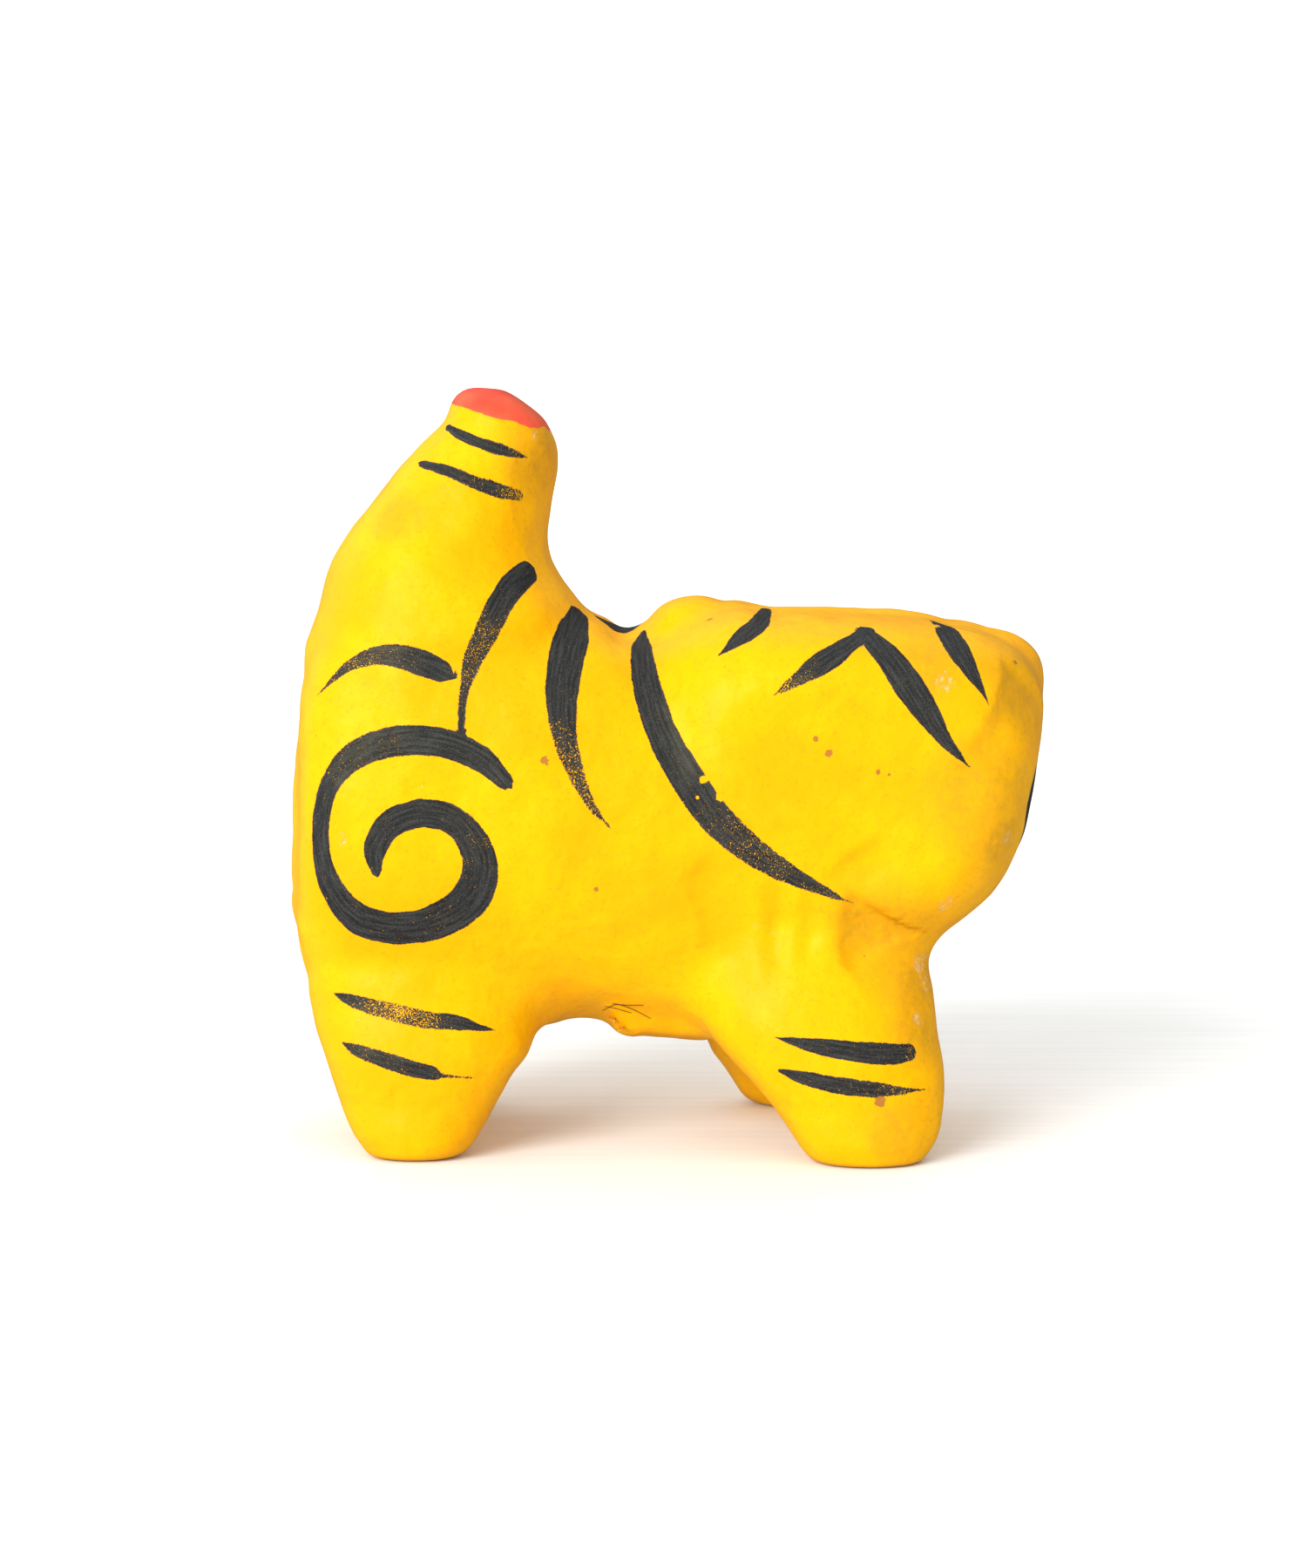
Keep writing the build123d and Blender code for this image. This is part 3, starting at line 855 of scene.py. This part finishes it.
def eye_white_field(skin):
    """Millimetres inside the nearer eye's oval, on the face only, and below 0 outside it."""
    inside = np.full(len(skin), -5.0)
    on_face = skin[:, 1] > middle_plane_y() + 20 * MM
    for x, z, half_width, half_height in eye_whites.values():
        apart = np.hypot((skin[:, 0] / MM - x) / half_width, (skin[:, 2] / MM - z) / half_height)
        inside = np.where(on_face, np.maximum(inside, (1 - apart) * half_height), inside)
    return inside


def build_figure():
    """The skin, shaped and creased, then brushed with strokes, and cut into one piece for each CAD node."""
    skin, quads, tree, owners = fused_skin()
    labels = named_parts(skin, quads, tree, owners)
    smooth_tree = BVHTree.FromPolygons(skin.tolist(), quads.tolist())
    right, left = Side(smooth_tree, 1), Side(smooth_tree, -1)
    normals = point_normals(skin, quads)
    relief = hand_waviness(skin)
    relief = relief + dents(skin, normals, right_folds, right) + dents(skin, normals, left_folds, left)
    relief *= smooth_step(skin[:, 2], 0.5 * MM, 4 * MM)  # the soles stay flat
    skin = reshaped(skin + relief[:, None] * normals, normals)
    skin[:, 2] = skin[:, 2].clip(0)
    normals = point_normals(skin, quads)
    tree_now = BVHTree.FromPolygons(skin.tolist(), quads.tolist())
    right, left = Side(tree_now, 1), Side(tree_now, -1)
    brushed = (
        (right, tail_strokes), (right, rump_strokes), (right, head_back_strokes),
        (left, mirrored(tail_strokes)), (left, mirrored(rump_strokes)), (left, face_strokes),
        (Above(tree_now), back_strokes), (Ahead(tree_now), cheek_strokes),
    )
    paths = [Path(caster, rows) for caster, strokes in brushed for rows in strokes.values()]
    fields = ink_fields(skin, normals, paths)
    fields["eye_white"] = eye_white_field(skin)
    material = painted_paper(right)
    for index, name in enumerate(sorted(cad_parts)):
        closed_piece(name, skin, normals, quads[labels == index], fields, material)
    torn_paper = plain_material("torn_paper", torn_yellow, 0.55)
    for name, place in torn_plies.items():
        torn_ply(name, *place, torn_paper)
    dark_hair = plain_material("dark_bristle", hair_brown, 0.5)
    for name, controls in bristles.items():
        bristle(name, controls, right, dark_hair)


def plain_material(name, colour, roughness):
    """A dull material with a little uneven tone and grain."""
    material, nodes = new_material(name)
    grain = nodes.noise(nodes.place(), 0.6, 3, 0.6)
    dark = tuple(0.6 * part for part in colour[:3]) + (1,)
    tone = nodes.mix(nodes.ramp(grain, 0.35, 0.65), dark, colour)
    rough = nodes.ramp(grain, 0.2, 0.8, roughness - 0.1, roughness + 0.1)
    height = nodes.times(grain, 0.08)
    bump = nodes.add("ShaderNodeBump", {"Distance": MM, "Height": height}).outputs[0]
    nodes.surface(Base_Color=tone, Roughness=rough, Normal=bump, Specular_IOR_Level=0.2)
    return material


# The torn end of the belly patch: for each ply, where it leaves the belly (x, z), how far it reaches back
# and how far it droops, in millimetres
torn_plies = {
    "upper": (-13.8, 33.6, 2.6, 0.3),
    "middle": (-11.4, 31.4, 2.4, 0.5),
}
ply_thickness = 0.5
ply_step = 0.7  # millimetres between the cuts across a ply


def torn_ply(name, x, z, reach, droop, material):
    """A thin ply across the belly with a ragged free edge: three pairs of points at each cut across it."""
    low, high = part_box("belly_patch")
    ys = np.arange(low.y / MM - 3, high.y / MM + 1, ply_step)
    points, faces = [], []
    for y in ys:
        tear = 0.5 + noise.noise(Vector((y / 4.5, x, 0))) + 0.45 * noise.noise(Vector((y / 1.1, x, 5)))
        sag = droop * (0.6 + noise.noise(Vector((y / 7, x, 9))))
        length = reach * max(0.12, tear)
        middle = (x - 0.5 * length, z - 0.75 * sag)
        tip = (x - length, z - sag)
        for along, thick in (((x, z), 1), (middle, 0.8), (tip, 0.35)):
            for up in (0.5, -0.5):
                points.append(Vector((along[0], y, along[1] + up * thick * ply_thickness)) * MM)
    ring = (0, 2, 4, 5, 3, 1)
    for station in range(len(ys) - 1):
        base = 6 * station
        for a, b in zip(ring, ring[1:] + ring[:1]):
            faces.append((base + a, base + b, base + 6 + b, base + 6 + a))
    last = 6 * (len(ys) - 1)
    faces += [tuple(reversed(ring)), tuple(last + i for i in ring)]
    stand_for(new_object("belly_patch_ply_" + name, points, faces, material), "belly_patch")


# Stray bristles stuck in the paint beside the patch, as (x, z) in millimetres
bristles = {
    "long": [(-17.2, 35.6), (-13.6, 38.2), (-9.4, 37), (-4.6, 34.2)],
    "crossing": [(-16.6, 37.4), (-13.2, 36.8), (-9.6, 35.8)],
    "upper": [(-14.6, 38.6), (-11.4, 38.2), (-6.4, 38.4)],
}
bristle_radius = 0.09
bristle_sides = 6
bristle_arch = 0.25 * MM  # how far its middle stands off the skin


def bristle(name, controls, side, material):
    """A fine hair that lies on the skin."""
    rows = through(controls, 0.5)
    line = np.array([side.on_skin(x, z) for x, z in rows])
    line[:, 1] -= 0.5 * bristle_radius * MM + bristle_arch * np.sin(np.linspace(0, pi, len(line)))
    points, faces = [], []
    for spot, forward in zip(line, np.gradient(line, axis=0)):
        across = np.cross(forward, (0, 1, 0))
        across /= np.linalg.norm(across)
        up = np.cross(across, forward / np.linalg.norm(forward))
        for step in range(bristle_sides):
            angle = 2 * pi * step / bristle_sides
            points.append(spot + bristle_radius * MM * (np.cos(angle) * across + np.sin(angle) * up))
    for ring in range(len(line) - 1):
        for step in range(bristle_sides):
            a = ring * bristle_sides + step
            b = ring * bristle_sides + (step + 1) % bristle_sides
            faces.append((a, a + bristle_sides, b + bristle_sides, b))
    last = len(points) - bristle_sides
    faces += [tuple(range(bristle_sides)), tuple(reversed(range(last, len(points))))]
    stand_for(new_object("bristle_" + name, points, faces, material), "belly_patch")


# ---------------------------------------------------------------- camera, floor and light
camera_height = 200.4 * MM
camera_distance = 923.8 * MM  # from the figure's middle plane
camera_x = -3.8 * MM
camera_drop = radians(6.6)  # how far it looks down
sensor = 36.0  # millimetres, along the picture's longer side
lens = 80.42  # millimetres


def add_camera():
    """The camera at the photo's viewing angle: level with the top of the tail, looking slightly down."""
    data = bpy.data.cameras.new("camera")
    data.sensor_width = sensor
    data.lens = lens
    data.clip_start = 0.05
    camera = bpy.data.objects.new("camera", data)
    camera.location = (camera_x, middle_plane_y() - camera_distance, camera_height)
    camera.rotation_euler = (pi / 2 - camera_drop, 0, 0)
    bpy.context.scene.collection.objects.link(camera)
    bpy.context.scene.camera = camera


def add_floor():
    """A white sheet that lies under the figure and curves up far behind it."""
    half_width, front, bend, radius, top = 4.0, -3.0, 1.6, 0.8, 3.0
    bend_steps = 16
    fibre_scale = (8, 220, 1)  # cells per metre, so that the fibres run along X
    profile = [(front, 0.0)]
    for step in range(bend_steps + 1):
        angle = pi / 2 * step / bend_steps
        profile.append((bend + radius * np.sin(angle), radius * (1 - np.cos(angle))))
    profile.append((bend + radius, top))
    points = [(side * half_width, y, z) for y, z in profile for side in (-1, 1)]
    faces = [(2 * i, 2 * i + 1, 2 * i + 3, 2 * i + 2) for i in range(len(profile) - 1)]
    material, nodes = new_material("white_board")
    place = nodes.add("ShaderNodeTexCoord").outputs["Object"]
    fibre = nodes.add("ShaderNodeMapping", {0: place, 3: fibre_scale}).outputs[0]
    fibres = nodes.add("ShaderNodeTexNoise", {"Vector": fibre, "Scale": 1.0, "Detail": 3}).outputs[0]
    colour = nodes.mix(nodes.ramp(fibres, 0.3, 0.7), floor_grey, floor_white)
    nodes.surface(Base_Color=colour, Roughness=0.6, Specular_IOR_Level=0.3)
    floor = new_object("floor", points, faces, material)
    floor.visible_glossy = False


key_strength = 3.35
key_softness = radians(35)  # the angle that the light seems to fill
key_direction = (0.55, 0.76, -0.43)  # from the upper left front
sky_dim, sky_bright = 0.12, 1.2


def add_light():
    """A large soft key light, and a white sky that is brightest above the camera's left and darkest opposite
    that, low behind the right. The camera itself sees it white."""
    data = bpy.data.lights.new("key", "SUN")
    data.energy = key_strength
    data.angle = key_softness
    key = bpy.data.objects.new("key", data)
    key.rotation_euler = Vector(key_direction).to_track_quat("-Z", "Y").to_euler()
    bpy.context.scene.collection.objects.link(key)
    world = bpy.data.worlds.new("sky")
    bpy.context.scene.world = world
    world.use_nodes = True
    nodes = Nodes(world.node_tree)
    axes = nodes.add("ShaderNodeSeparateXYZ", {0: nodes.add("ShaderNodeTexCoord").outputs["Generated"]})
    opposite = nodes.math("MULTIPLY_ADD", axes.outputs[0], 0.8, axes.outputs[1])
    opposite = nodes.math("MULTIPLY_ADD", axes.outputs[2], -1.1, opposite)
    strength = nodes.ramp(opposite, 0.8, -1.1, sky_dim, sky_bright)
    seen = nodes.add("ShaderNodeLightPath").outputs["Is Camera Ray"]
    strength = nodes.math("MAXIMUM", strength, seen)
    background = nodes.add("ShaderNodeBackground", {"Color": (1, 1, 1, 1), "Strength": strength})
    nodes.add("ShaderNodeOutputWorld", {"Surface": background.outputs[0]})


build_figure()
add_floor()
add_light()
add_camera()
bpy.context.scene.view_settings.view_transform = "Standard"
